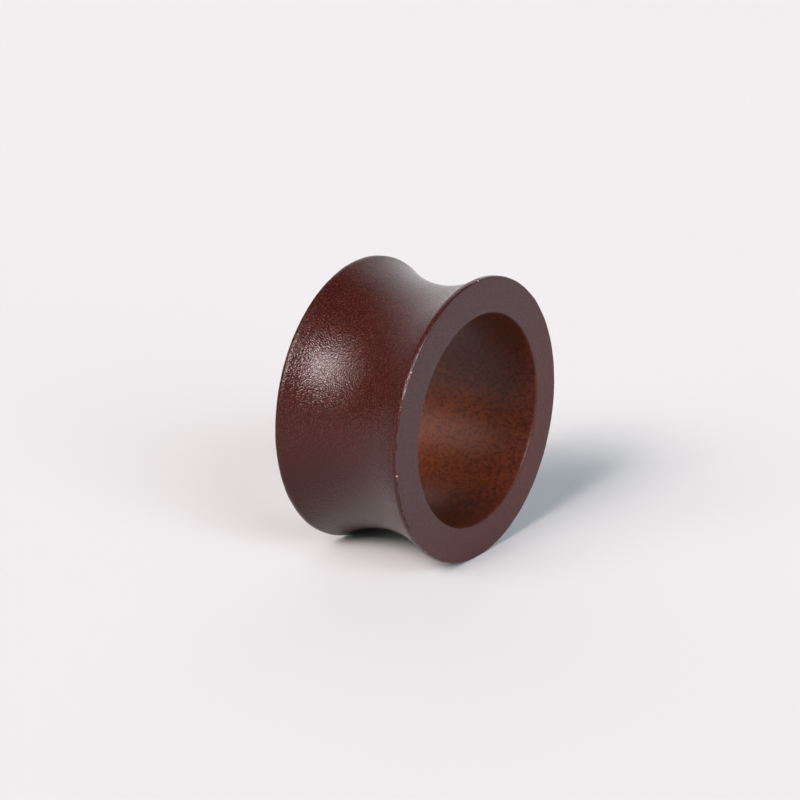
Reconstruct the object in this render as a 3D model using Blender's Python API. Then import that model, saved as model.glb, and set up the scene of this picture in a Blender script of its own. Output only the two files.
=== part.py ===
"""A turned wooden napkin ring, in metres, +Z up.

The ring is one piece of hardwood: two narrow rims at the full diameter, a hollow swept between
them, a flat face at each end and a straight bore. The bore runs along Y. The ring stands on its
rims, and the origin is on the table below its middle.
"""

import math

import bmesh
import bpy
from mathutils import Matrix

# Driving dimensions
OUTER_DIAMETER = 0.0500
LENGTH = 0.0250
BORE_DIAMETER = 0.0372
WAIST_DIAMETER = 0.0434

# Edges: the rounding from each end face to its rim, the straight land on the rim beside it,
# and the softer break of the bore's mouth
RIM_ROUNDING = 0.00030
RIM_LAND = 0.00060
MOUTH_ROUNDING = 0.00030

# The small flat spot under both rims, which keeps the ring from rolling
FLAT_WIDTH = 0.0060

# Fineness of the facets
TURNS_STEPS = 96
COVE_STEPS = 7
RIM_ROUNDING_STEPS = 3
MOUTH_ROUNDING_STEPS = 2

# Dark stained and lacquered hardwood
WOOD_COLOUR = (0.062, 0.017, 0.012, 1.0)
WOOD_ROUGHNESS = 0.42

OUTER_RADIUS = OUTER_DIAMETER / 2
AXIS_HEIGHT = math.sqrt(OUTER_RADIUS**2 - (FLAT_WIDTH / 2) ** 2)


def clear_scene():
    for old in list(bpy.data.objects):
        bpy.data.objects.remove(old)


def arc(centre, radius, start, end, steps):
    """Points (y, r) from one angle to another, in degrees from +Y towards a larger radius."""
    points = []
    for step in range(steps + 1):
        angle = math.radians(start + (end - start) * step / steps)
        along = centre[0] + radius * math.cos(angle)
        outward = centre[1] + radius * math.sin(angle)
        points.append((along, outward))
    return points


def half_section():
    """The wall's outline at y >= 0: up the end face from the bore, then in to the waist."""
    end = LENGTH / 2
    bore_radius = BORE_DIAMETER / 2
    waist_radius = WAIST_DIAMETER / 2

    mouth_centre = (end - MOUTH_ROUNDING, bore_radius + MOUTH_ROUNDING)
    mouth = arc(mouth_centre, MOUTH_ROUNDING, -90, 0, MOUTH_ROUNDING_STEPS)

    rim_centre = (end - RIM_ROUNDING, OUTER_RADIUS - RIM_ROUNDING)
    rim = arc(rim_centre, RIM_ROUNDING, 0, 90, RIM_ROUNDING_STEPS)

    # The cove is one arc, centred outside the waist, that ends on the inner edge of the land.
    reach = end - RIM_ROUNDING - RIM_LAND
    depth = OUTER_RADIUS - waist_radius
    cove_radius = (reach**2 + depth**2) / (2 * depth)
    cove_centre = (0.0, waist_radius + cove_radius)
    half_sweep = math.degrees(math.asin(reach / cove_radius))
    cove = arc(cove_centre, cove_radius, -90 + half_sweep, -90, COVE_STEPS)
    return mouth + rim + cove


def wall_section():
    """The whole outline, as the half and its mirror image in the plane through the waist."""
    half = half_section()
    mirrored = [(-along, outward) for along, outward in reversed(half[:-1])]
    return half + mirrored


def spin_wall(bm):
    """Turns the outline round the bore's axis, as a lathe does."""
    corners = [bm.verts.new((0, along, outward)) for along, outward in wall_section()]
    edges = []
    for corner, following in zip(corners, corners[1:] + corners[:1]):
        edges.append(bm.edges.new((corner, following)))
    bmesh.ops.spin(
        bm,
        geom=corners + edges,
        cent=(0, 0, 0),
        axis=(0, 1, 0),
        angle=2 * math.pi,
        steps=TURNS_STEPS,
        use_merge=True,
    )
    bmesh.ops.recalc_face_normals(bm, faces=bm.faces)


def plane_off_the_flat(bm):
    """Takes a thin slice off the bottom of both rims and closes the two cuts."""
    cut = bmesh.ops.bisect_plane(
        bm,
        geom=bm.verts[:] + bm.edges[:] + bm.faces[:],
        plane_co=(0, 0, -AXIS_HEIGHT),
        plane_no=(0, 0, -1),
        clear_outer=True,
    )
    cut_edges = [part for part in cut["geom_cut"] if isinstance(part, bmesh.types.BMEdge)]
    bmesh.ops.edgenet_fill(bm, edges=cut_edges)
    bmesh.ops.recalc_face_normals(bm, faces=bm.faces)


def stained_wood():
    material = bpy.data.materials.new("stained_wood")
    material.use_nodes = True
    shader = material.node_tree.nodes["Principled BSDF"]
    shader.inputs["Base Color"].default_value = WOOD_COLOUR
    shader.inputs["Roughness"].default_value = WOOD_ROUGHNESS
    shader.inputs["Metallic"].default_value = 0.0
    return material


def make_ring():
    bm = bmesh.new()
    spin_wall(bm)
    plane_off_the_flat(bm)
    mesh = bpy.data.meshes.new("ring")
    bm.to_mesh(mesh)
    bm.free()
    mesh.materials.append(stained_wood())
    mesh.shade_smooth()
    mesh.set_sharp_from_angle(angle=math.radians(25))
    ring = bpy.data.objects.new("ring", mesh)
    ring.matrix_world = Matrix.Translation((0, 0, AXIS_HEIGHT))
    bpy.context.collection.objects.link(ring)


clear_scene()
make_ring()
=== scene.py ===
import math

import bmesh
import bpy
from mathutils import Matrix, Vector, noise


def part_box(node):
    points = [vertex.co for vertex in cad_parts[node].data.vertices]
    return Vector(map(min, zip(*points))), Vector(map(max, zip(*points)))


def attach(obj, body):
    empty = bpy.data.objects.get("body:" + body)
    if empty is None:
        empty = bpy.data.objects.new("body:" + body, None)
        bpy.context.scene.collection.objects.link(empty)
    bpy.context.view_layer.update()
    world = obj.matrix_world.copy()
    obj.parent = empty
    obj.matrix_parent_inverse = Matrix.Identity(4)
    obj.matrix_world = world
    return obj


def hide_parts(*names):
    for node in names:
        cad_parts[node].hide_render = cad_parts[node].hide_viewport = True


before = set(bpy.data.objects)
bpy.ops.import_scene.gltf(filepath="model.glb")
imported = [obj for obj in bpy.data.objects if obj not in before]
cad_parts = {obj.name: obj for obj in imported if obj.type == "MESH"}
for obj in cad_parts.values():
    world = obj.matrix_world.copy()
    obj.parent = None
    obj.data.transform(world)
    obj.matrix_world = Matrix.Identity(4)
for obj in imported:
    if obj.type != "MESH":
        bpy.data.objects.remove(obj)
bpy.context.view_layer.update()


# ---------------------------------------------------------------------------------------------
# The ring. One piece of close-grained hardwood, turned on a lathe: a cove between two rims, two
# flat ends and a straight bore. It is sanded by hand, stained dark and sprayed with satin lacquer.
# ---------------------------------------------------------------------------------------------

ring_low, ring_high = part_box("ring")
OUTER_RADIUS = (ring_high.x - ring_low.x) / 2
HALF_LENGTH = (ring_high.y - ring_low.y) / 2
AXIS_HEIGHT = ring_high.z - OUTER_RADIUS
BORE_RADIUS = 0.0186
WAIST_RADIUS = 0.0217
RIM_ROUNDING = 0.00030
RIM_LAND = 0.00060
MOUTH_ROUNDING = 0.00030

TURN_STEPS = 600
COVE_STEPS = 36
BORE_STEPS = 16
FACE_STEPS = 6
RIM_STEPS = 7
MOUTH_STEPS = 4


def arc(centre, radius, start, end, steps):
    """Points (y, r) from one angle to another, in degrees from +Y towards a larger radius.

    Here and below, y is the distance along the bore and r the distance out from its axis.
    """
    points = []
    for step in range(steps + 1):
        angle = math.radians(start + (end - start) * step / steps)
        along = centre[0] + radius * math.cos(angle)
        outward = centre[1] + radius * math.sin(angle)
        points.append((along, outward))
    return points


def straight(start, end, steps):
    """Points between two others, with both ends left out."""
    points = []
    for step in range(1, steps):
        share = step / steps
        along = start[0] + (end[0] - start[0]) * share
        outward = start[1] + (end[1] - start[1]) * share
        points.append((along, outward))
    return points


def half_section():
    """The wall's outline at y >= 0: along the bore, up the end face, then in to the waist.

    The cove is one arc, from the waist to the narrow land that each rim keeps beside its edge.
    """
    mouth_centre = (HALF_LENGTH - MOUTH_ROUNDING, BORE_RADIUS + MOUTH_ROUNDING)
    mouth = arc(mouth_centre, MOUTH_ROUNDING, -90, 0, MOUTH_STEPS)
    rim_centre = (HALF_LENGTH - RIM_ROUNDING, OUTER_RADIUS - RIM_ROUNDING)
    rim = arc(rim_centre, RIM_ROUNDING, 0, 90, RIM_STEPS)

    reach = HALF_LENGTH - RIM_ROUNDING - RIM_LAND
    depth = OUTER_RADIUS - WAIST_RADIUS
    cove_radius = (reach**2 + depth**2) / (2 * depth)
    cove_centre = (0.0, WAIST_RADIUS + cove_radius)
    half_sweep = math.degrees(math.asin(reach / cove_radius))
    cove = arc(cove_centre, cove_radius, -90 + half_sweep, -90, COVE_STEPS)

    bore = [(0.0, BORE_RADIUS)] + straight((0.0, BORE_RADIUS), mouth[0], BORE_STEPS)
    face = straight(mouth[-1], rim[0], FACE_STEPS)
    return bore + mouth + face + rim + cove


def round_the_axis(angle, along, outward):
    """The place at an angle from the top towards +X, this far along the axis and out from it."""
    return Vector((outward * math.sin(angle), along, AXIS_HEIGHT + outward * math.cos(angle)))


CHIP_INSET = 0.00010


def chip(degrees, end, across):
    """A chip in a rim's edge, as its middle and its size across.

    The angle is from the top towards +X, and end is -1 for the front rim, 1 for the back one.
    """
    along = end * (HALF_LENGTH - CHIP_INSET)
    return round_the_axis(math.radians(degrees), along, OUTER_RADIUS - CHIP_INSET), across


CHIPS = [
    chip(degrees=-1.5, end=-1, across=0.00034),
    chip(degrees=-56.0, end=-1, across=0.00020),
    chip(degrees=-96.5, end=-1, across=0.00030),
    chip(degrees=118.0, end=-1, across=0.00030),
    chip(degrees=13.5, end=1, across=0.00030),
    chip(degrees=-21.0, end=1, across=0.00026),
    chip(degrees=84.0, end=1, across=0.00034),
    chip(degrees=152.0, end=1, across=0.00028),
]
CHIP_DEPTH = 0.00009
CHIP_LEAN = 0.9
EDGE_WEAR = 0.00007
EDGE_WEAR_REACH = 0.00065
EDGE_WEAR_SCALE = 420.0
SANDING_DEPTH = 0.000010
SANDING_SCALE = 160.0


def sanded(angle, along, outward):
    """One point of the turned wood after sanding: wood is only taken off, most at the rims' edges.

    Near a chip the point sinks into the wall, and under both rims it stays on the planed flat.
    """
    turned = round_the_axis(angle, along, outward)
    hollow = 0.5 + 0.5 * noise.noise(turned * SANDING_SCALE)
    outward -= SANDING_DEPTH * hollow
    from_edge = math.hypot(HALF_LENGTH - abs(along), OUTER_RADIUS - outward)
    if from_edge < EDGE_WEAR_REACH:
        uneven = 0.5 + 0.5 * noise.noise(turned * EDGE_WEAR_SCALE)
        worn = EDGE_WEAR * uneven * (1 - from_edge / EDGE_WEAR_REACH)
        outward -= worn
        along -= math.copysign(worn, along)
    point = round_the_axis(angle, along, outward)
    into_wall = (round_the_axis(angle, along * CHIP_LEAN, WAIST_RADIUS) - point).normalized()
    for middle, across in CHIPS:
        share = (point - middle).length / across
        if share < 1:
            point += into_wall * CHIP_DEPTH * (1 - share * share)
    point.z = max(point.z, 0.0)
    return point


def turn_ring():
    """Turns the whole outline round the bore's axis into one closed skin."""
    half = half_section()
    section = half + [(-along, outward) for along, outward in reversed(half[1:-1])]
    bm = bmesh.new()
    rows = []
    for turn in range(TURN_STEPS):
        angle = 2 * math.pi * turn / TURN_STEPS
        rows.append([bm.verts.new(sanded(angle, along, outward)) for along, outward in section])
    for row, next_row in zip(rows, rows[1:] + rows[:1]):
        for here in range(len(section)):
            beyond = (here + 1) % len(section)
            bm.faces.new((row[here], row[beyond], next_row[beyond], next_row[here]))
    bmesh.ops.recalc_face_normals(bm, faces=bm.faces)
    mesh = bpy.data.meshes.new("ring_wood")
    bm.to_mesh(mesh)
    bm.free()
    mesh.shade_smooth()
    return mesh


class Wire:
    """A shader socket that takes part in sums: 1 - wire, wire * 0.5 and the like add Math nodes."""

    def __init__(self, tree, socket=None):
        self.tree = tree
        self.socket = socket

    def node(self, kind, settings, inputs, output=0):
        """Adds a node, sets it up, fills its sockets by name or number and wraps one output."""
        made = self.tree.nodes.new("ShaderNode" + kind)
        for setting, value in settings.items():
            setattr(made, setting, value)
        for name, value in inputs.items():
            if isinstance(value, Wire):
                self.tree.links.new(value.socket, made.inputs[name])
            else:
                made.inputs[name].default_value = value
        return Wire(self.tree, made.outputs[output])

    def math(self, operation, *values):
        return self.node("Math", {"operation": operation}, dict(enumerate(values)))

    def vector(self, operation, first, second, output=0):
        return self.node("VectorMath", {"operation": operation}, {0: first, 1: second}, output)

    def __add__(self, other):
        return self.math("ADD", self, other)

    def __radd__(self, other):
        return self.math("ADD", other, self)

    def __sub__(self, other):
        return self.math("SUBTRACT", self, other)

    def __rsub__(self, other):
        return self.math("SUBTRACT", other, self)

    def __mul__(self, other):
        return self.math("MULTIPLY", self, other)

    def __rmul__(self, other):
        return self.math("MULTIPLY", other, self)

    def rise(self, low, high):
        """0 below low, 1 above high, and a smooth step between."""
        settings = {"interpolation_type": "SMOOTHSTEP"}
        return self.node("MapRange", settings, {"Value": self, "From Min": low, "From Max": high})

    def blend(self, first, second):
        """The first colour where this is 0, the second where it is 1."""
        return self.node("Mix", {"data_type": "RGBA"}, {0: self, 6: first, 7: second}, output=2)


OUTSIDE_COLOUR = (0.030, 0.0049, 0.0036, 1.0)
FACE_COLOUR = (0.071, 0.0300, 0.0318, 1.0)
FACE_RED_COLOUR = (0.080, 0.0210, 0.0180, 1.0)
BORE_COLOUR = (0.078, 0.0190, 0.0100, 1.0)
# Low in the bore: partly thin stain, partly painted light falling in through the mouths.
BORE_THIN_AND_LIT_COLOUR = (0.168, 0.0345, 0.0108, 1.0)
PORE_COLOUR = (0.014, 0.0030, 0.0026, 1.0)
# Light red specks on the upper cove: partly stain rubbed off the raised grain, partly painted glints.
RUBBED_AND_GLINT_COLOUR = (0.13, 0.036, 0.028, 1.0)
BARE_WOOD_COLOUR = (0.52, 0.30, 0.19, 1.0)

# How many cells of each pattern go into a metre of wood.
PEEL_SCALE = 3500.0
SWELL_SCALE = 900.0
PORE_SCALE = 3300.0
RUBBED_AND_GLINT_SCALE = 4300.0
MOTTLE_SCALE = 1100.0
PATCH_SCALE = 170.0
BLOTCH_SCALE = 1900.0

# How far below each surface its own finish reaches, and how far in the rims' glossy edges do.
BORE_SKIN = 0.00005
FACE_SKIN = 0.00010
FULL_FACE_SKIN = 0.00002
EDGE_BAND = 0.00028
FULL_EDGE_ALONG = 0.00016
FULL_EDGE_OUTWARD = 0.00012

# Where the bore is lighter and warmer, low down: partly thin stain, partly a painted pool of light.
THIN_STAIN_AND_LIGHT_MIDDLE = (0.0142, 0.0010, AXIS_HEIGHT - 0.0120)
THIN_STAIN_AND_LIGHT_CORE = 0.003
THIN_STAIN_AND_LIGHT_REACH = 0.0185
# How high on the cove the light red specks begin: partly rubbed stain, partly painted glints.
RUBBED_AND_GLINT_LOW = -0.010
RUBBED_AND_GLINT_HIGH = 0.006
# Where the end faces turn redder towards the lower right: partly stain, partly painted light and
# shade.
REDDER_LOW = -0.012
REDDER_HIGH = 0.020

# How strongly each pattern shows in the stain.
STAIN_PATCHES = 0.5
STAIN_MOTTLE = 0.8
RUBBED_AND_GLINT_STRENGTH = 0.5
OUTSIDE_FILLING = 0.25
FACE_FILLING = 0.42
BORE_FILLING = 0.5

LACQUER_SPECULAR = 0.28
OUTSIDE_ROUGHNESS = 0.19
FACE_EXTRA_ROUGHNESS = 0.24
BORE_EXTRA_ROUGHNESS = 0.14
MOTTLED_ROUGHNESS = 0.08
EDGE_GLOSS_ROUGHNESS = 0.12

# The raised grain: its height in metres, and how much of it each pattern and surface has.
RELIEF_HEIGHT = 0.000082
SWELL_RELIEF = 0.35
PORE_RELIEF = 0.1
BORE_RELIEF = 0.4
OUTSIDE_EXTRA_RELIEF = 0.6
FACE_EXTRA_RELIEF = 1.1


def lacquered_wood():
    """Stain and satin lacquer, told apart by place: the outside, the end faces and the bore."""
    material = bpy.data.materials.new("lacquered_wood")
    material.use_nodes = True
    tree = material.node_tree
    shader = tree.nodes["Principled BSDF"]
    wood = Wire(tree)

    place = wood.node("TexCoord", {}, {}, "Object")
    x, y, z = (wood.node("SeparateXYZ", {}, {0: place}, axis) for axis in "XYZ")
    height = z - AXIS_HEIGHT
    reach = wood.math("ABSOLUTE", y)
    radius = wood.math("SQRT", x * x + height * height)
    bore = 1 - radius.rise(BORE_RADIUS + BORE_SKIN, BORE_RADIUS + MOUTH_ROUNDING)
    face = reach.rise(HALF_LENGTH - FACE_SKIN, HALF_LENGTH - FULL_FACE_SKIN)
    outside = (1 - face) * (1 - bore)
    edge = reach.rise(HALF_LENGTH - EDGE_BAND, HALF_LENGTH - FULL_EDGE_ALONG)
    edge = edge * radius.rise(OUTER_RADIUS - EDGE_BAND, OUTER_RADIUS - FULL_EDGE_OUTWARD)

    def grain(scale, squash, detail):
        """A noise through the wood, with the lengths along the bore times 1 / squash."""
        squashed = wood.vector("MULTIPLY", place, (1.0, squash, 1.0))
        return wood.node("TexNoise", {}, {"Vector": squashed, "Scale": scale, "Detail": detail})

    peel = grain(PEEL_SCALE, squash=1.0, detail=0.9)
    swell = grain(SWELL_SCALE, squash=1.3, detail=1.0)
    pores = grain(PORE_SCALE, squash=0.6, detail=1.0).rise(0.52, 0.68)
    rubbed_and_glints = grain(RUBBED_AND_GLINT_SCALE, squash=1.3, detail=0.0).rise(0.55, 0.74)
    mottle = grain(MOTTLE_SCALE, squash=0.8, detail=2.0)
    patch = grain(PATCH_SCALE, squash=0.8, detail=1.0)
    blotch = grain(BLOTCH_SCALE, squash=0.7, detail=2.0).rise(0.42, 0.66)

    # The bore is lighter and warmer low down: partly thin stain, partly a painted pool of light.
    from_thin_and_lit = wood.vector("DISTANCE", place, THIN_STAIN_AND_LIGHT_MIDDLE, "Value")
    thin_and_lit = 1 - from_thin_and_lit.rise(THIN_STAIN_AND_LIGHT_CORE, THIN_STAIN_AND_LIGHT_REACH)
    thin_and_lit = thin_and_lit + (patch - 0.5) * STAIN_PATCHES + (mottle - 0.5) * STAIN_MOTTLE
    inner = thin_and_lit.rise(0.0, 1.0).blend(BORE_COLOUR, BORE_THIN_AND_LIT_COLOUR)
    # The end faces turn redder towards the lower right: partly stain, partly painted light and shade.
    redder = (x * 0.6 - height * 0.8 + (patch - 0.5) * 0.01).rise(REDDER_LOW, REDDER_HIGH)
    ends = redder.blend(FACE_COLOUR, FACE_RED_COLOUR)
    colour = face.blend(bore.blend(OUTSIDE_COLOUR, inner), ends)

    # It gathers in the pores and is gone in chips.
    filled = pores * (outside * OUTSIDE_FILLING + face * FACE_FILLING) + blotch * bore * BORE_FILLING
    colour = filled.blend(colour, PORE_COLOUR)
    # Light red specks on the upper cove only: partly stain rubbed off the raised grain, partly
    # painted glints.
    rubbed_and_glints = rubbed_and_glints * outside * height.rise(RUBBED_AND_GLINT_LOW, RUBBED_AND_GLINT_HIGH) * RUBBED_AND_GLINT_STRENGTH
    colour = rubbed_and_glints.blend(colour, RUBBED_AND_GLINT_COLOUR)
    for middle, across in CHIPS:
        away = wood.vector("DISTANCE", place, middle, "Value") + (mottle - 0.5) * across
        bare = 1 - away.rise(across * 0.45, across * 0.70)
        colour = bare.blend(colour, BARE_WOOD_COLOUR)
    tree.links.new(colour.socket, shader.inputs["Base Color"])

    # Satin lacquer on the outside, thinner on end grain, with a broken gloss where edges are handled.
    roughness = OUTSIDE_ROUGHNESS + face * FACE_EXTRA_ROUGHNESS + bore * BORE_EXTRA_ROUGHNESS
    roughness = roughness + (mottle - 0.5) * MOTTLED_ROUGHNESS
    tree.links.new(roughness.socket, shader.inputs["Roughness"])
    shader.inputs["Specular IOR Level"].default_value = LACQUER_SPECULAR
    gloss = edge * mottle.rise(0.35, 0.60)
    tree.links.new(gloss.socket, shader.inputs["Coat Weight"])
    shader.inputs["Coat Roughness"].default_value = EDGE_GLOSS_ROUGHNESS

    relief = peel + swell * SWELL_RELIEF - pores * PORE_RELIEF
    relief = relief * (BORE_RELIEF + outside * OUTSIDE_EXTRA_RELIEF + face * FACE_EXTRA_RELIEF)
    bump = wood.node("Bump", {}, {"Strength": 1.0, "Distance": RELIEF_HEIGHT, "Height": relief})
    tree.links.new(bump.socket, shader.inputs["Normal"])
    return material


ring = bpy.data.objects.new("ring_wood", turn_ring())
bpy.context.scene.collection.objects.link(ring)
ring.data.materials.append(lacquered_wood())
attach(ring, "root")
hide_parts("ring")


# ---------------------------------------------------------------------------------------------
# The table. A plain sheet of board painted matt white, which lies flat and loose under the ring
# and runs far past it on every side, so that no edge of it comes into view.
# ---------------------------------------------------------------------------------------------

TABLE_REACH = 30.0
TABLE_COLOUR = (0.62, 0.625, 0.63, 1.0)
TABLE_ROUGHNESS = 0.9

bm = bmesh.new()
bmesh.ops.create_grid(bm, x_segments=2, y_segments=2, size=TABLE_REACH)
table_mesh = bpy.data.meshes.new("table")
bm.to_mesh(table_mesh)
bm.free()
table = bpy.data.objects.new("table", table_mesh)
bpy.context.scene.collection.objects.link(table)
paint = bpy.data.materials.new("table_white")
paint.use_nodes = True
paint_shader = paint.node_tree.nodes["Principled BSDF"]
paint_shader.inputs["Base Color"].default_value = TABLE_COLOUR
paint_shader.inputs["Roughness"].default_value = TABLE_ROUGHNESS
table_mesh.materials.append(paint)


# ---------------------------------------------------------------------------------------------
# The studio. A dim grey room with five round soft lights with feathered edges: a small bright one
# on the left with a wider, weaker one beside it, one in front, a small weak one on the right, and a
# broad one low behind. The camera sees a pale backdrop in their place, about as bright as the table.
# ---------------------------------------------------------------------------------------------

world = bpy.data.worlds.new("studio")
bpy.context.scene.world = world
world.use_nodes = True
studio = Wire(world.node_tree)
direction = studio.node("TexCoord", {}, {}, output="Generated")


def soft_light(azimuth, elevation, core, edge, brightness, tint):
    """A round light on the sky, full within core degrees of its middle and gone by edge degrees.

    The azimuth is in degrees from the front, -Y, towards the right, +X.
    """
    round_it = math.radians(azimuth)
    up = math.radians(elevation)
    level = math.cos(up)
    middle = Vector((math.sin(round_it) * level, -math.cos(round_it) * level, math.sin(up)))
    towards = studio.vector("DOT_PRODUCT", direction, middle, "Value")
    share = towards.rise(math.cos(math.radians(edge)), math.cos(math.radians(core)))
    colour = [brightness * part for part in tint] + [1.0]
    return share.blend((0.0, 0.0, 0.0, 1.0), colour)


LIGHTS = [
    soft_light(azimuth=-89, elevation=38, core=3, edge=14, brightness=26.0, tint=(1.15, 1.0, 0.99)),
    soft_light(azimuth=-105, elevation=38, core=3, edge=26, brightness=5.0, tint=(1.10, 1.0, 0.95)),
    soft_light(azimuth=-24, elevation=31, core=14, edge=22, brightness=6.6, tint=(0.88, 1.0, 1.08)),
    soft_light(azimuth=95, elevation=40, core=7, edge=13, brightness=1.0, tint=(0.98, 1.0, 1.02)),
    soft_light(azimuth=134, elevation=3, core=11, edge=61, brightness=1.0, tint=(0.995, 1.0, 1.045)),
]
SURROUND_COLOUR = (0.11, 0.11, 0.11)
BACKDROP_COLOUR = (0.88, 0.865, 0.872, 1.0)

glow = studio.vector("ADD", LIGHTS[0], SURROUND_COLOUR)
for light in LIGHTS[1:]:
    glow = studio.vector("ADD", glow, light)
seen_by_camera = studio.node("LightPath", {}, {}, "Is Camera Ray")
sky = seen_by_camera.blend(glow, BACKDROP_COLOUR)
world.node_tree.links.new(sky.socket, world.node_tree.nodes["Background"].inputs["Color"])


# ---------------------------------------------------------------------------------------------
# The camera. It stands well round to the ring's left side and a little above it, on a long lens
# that keeps the two rims nearly the same size. It aims a little to one side of the ring's middle.
# ---------------------------------------------------------------------------------------------

CAMERA_AZIMUTH = math.radians(-55.5)
CAMERA_ELEVATION = math.radians(17.9)
CAMERA_DISTANCE = 0.4225
CAMERA_LENS = 109.5
SENSOR_WIDTH = 36.0
NEAREST_SEEN = 0.01
FARTHEST_SEEN = 100.0
AIM_RIGHT = -0.00328
AIM_UP = 0.00138

back = Vector((
    math.sin(CAMERA_AZIMUTH) * math.cos(CAMERA_ELEVATION),
    -math.cos(CAMERA_AZIMUTH) * math.cos(CAMERA_ELEVATION),
    math.sin(CAMERA_ELEVATION),
))
turn = back.to_track_quat("Z", "Y")
aim = Vector((0, 0, AXIS_HEIGHT)) + turn @ Vector((AIM_RIGHT, AIM_UP, 0))
lens = bpy.data.cameras.new("camera")
lens.lens = CAMERA_LENS
lens.sensor_width = SENSOR_WIDTH
lens.clip_start = NEAREST_SEEN
lens.clip_end = FARTHEST_SEEN
camera = bpy.data.objects.new("camera", lens)
camera.location = aim + back * CAMERA_DISTANCE
camera.rotation_mode = "QUATERNION"
camera.rotation_quaternion = turn
bpy.context.scene.collection.objects.link(camera)
bpy.context.scene.camera = camera
bpy.context.scene.view_settings.view_transform = "Standard"

bpy.context.view_layer.update()
